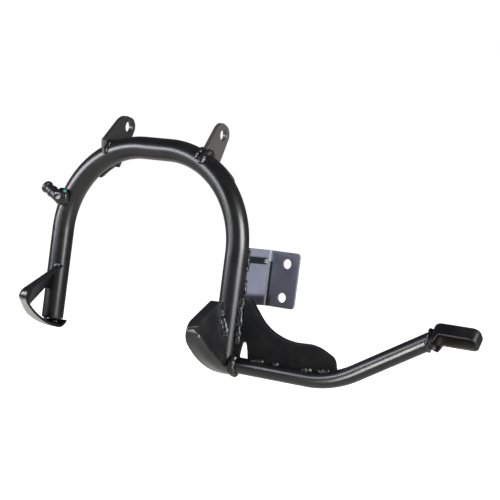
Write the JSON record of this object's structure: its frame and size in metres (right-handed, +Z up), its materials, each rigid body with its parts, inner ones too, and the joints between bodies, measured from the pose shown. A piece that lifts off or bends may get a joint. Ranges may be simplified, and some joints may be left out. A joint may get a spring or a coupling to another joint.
{
  "type": "motorcycle centre stand",
  "caption": "Black welded tube centre stand with two pivot lugs, pressed feet, a spring peg, a side bracket and a pedal arm.",
  "frame": {"origin": "on the pivot axis, midway between the two legs", "axes": "+X along the pivot axis towards the pedal, +Y to the rear of the machine, +Z up with the stand put down"},
  "size_m": [0.5662, 0.1267, 0.2745],
  "materials": {
    "bow_tube": "satin black paint",
    "foot_shell_left": "satin black paint",
    "foot_shell_right": "satin black paint",
    "gusset_plate": "satin black paint",
    "pedal_arm": "satin black paint",
    "pedal_tread": "satin black paint, worn",
    "pivot_lug_left": "satin black paint",
    "pivot_lug_right": "satin black paint",
    "side_bracket": "satin black paint",
    "spring_peg": "satin black paint, thin on the head",
    "weld_arm_root": "gloss black paint over a weld bead",
    "weld_bracket_lower": "gloss black paint over a weld bead",
    "weld_bracket_upper": "gloss black paint over a weld bead",
    "weld_foot_left_limb": "gloss black paint over a weld bead",
    "weld_foot_left_sole": "gloss black paint over a weld bead",
    "weld_foot_right_wall": "gloss black paint over a weld bead",
    "weld_gusset_arm_1": "gloss black paint over a weld bead",
    "weld_gusset_arm_2": "gloss black paint over a weld bead",
    "weld_gusset_arm_3": "gloss black paint over a weld bead",
    "weld_gusset_arm_4": "gloss black paint over a weld bead",
    "weld_gusset_leg": "gloss black paint over a weld bead",
    "weld_lug_left_inner": "gloss black paint over a weld bead",
    "weld_lug_right_inner": "gloss black paint over a weld bead",
    "weld_lug_right_outer": "gloss black paint over a weld bead",
    "weld_pedal": "gloss black paint over a weld bead",
    "weld_spring_peg": "gloss black paint over a weld bead"
  },
  "bodies": {
    "root": {"bow_tube": "bow_tube", "foot_shell_left": "foot_shell_left", "foot_shell_right": "foot_shell_right", "gusset_plate": "gusset_plate", "pedal_arm": "pedal_arm", "pedal_tread": "pedal_tread", "pivot_lug_left": "pivot_lug_left", "pivot_lug_right": "pivot_lug_right", "side_bracket": "side_bracket", "spring_peg": "spring_peg", "weld_arm_root": "weld_arm_root", "weld_bracket_lower": "weld_bracket_lower", "weld_bracket_upper": "weld_bracket_upper", "weld_foot_left_limb": "weld_foot_left_limb", "weld_foot_left_sole": "weld_foot_left_sole", "weld_foot_right_wall": "weld_foot_right_wall", "weld_gusset_arm_1": "weld_gusset_arm_1", "weld_gusset_arm_2": "weld_gusset_arm_2", "weld_gusset_arm_3": "weld_gusset_arm_3", "weld_gusset_arm_4": "weld_gusset_arm_4", "weld_gusset_leg": "weld_gusset_leg", "weld_lug_left_inner": "weld_lug_left_inner", "weld_lug_right_inner": "weld_lug_right_inner", "weld_lug_right_outer": "weld_lug_right_outer", "weld_pedal": "weld_pedal", "weld_spring_peg": "weld_spring_peg"}
  },
  "joints": []
}
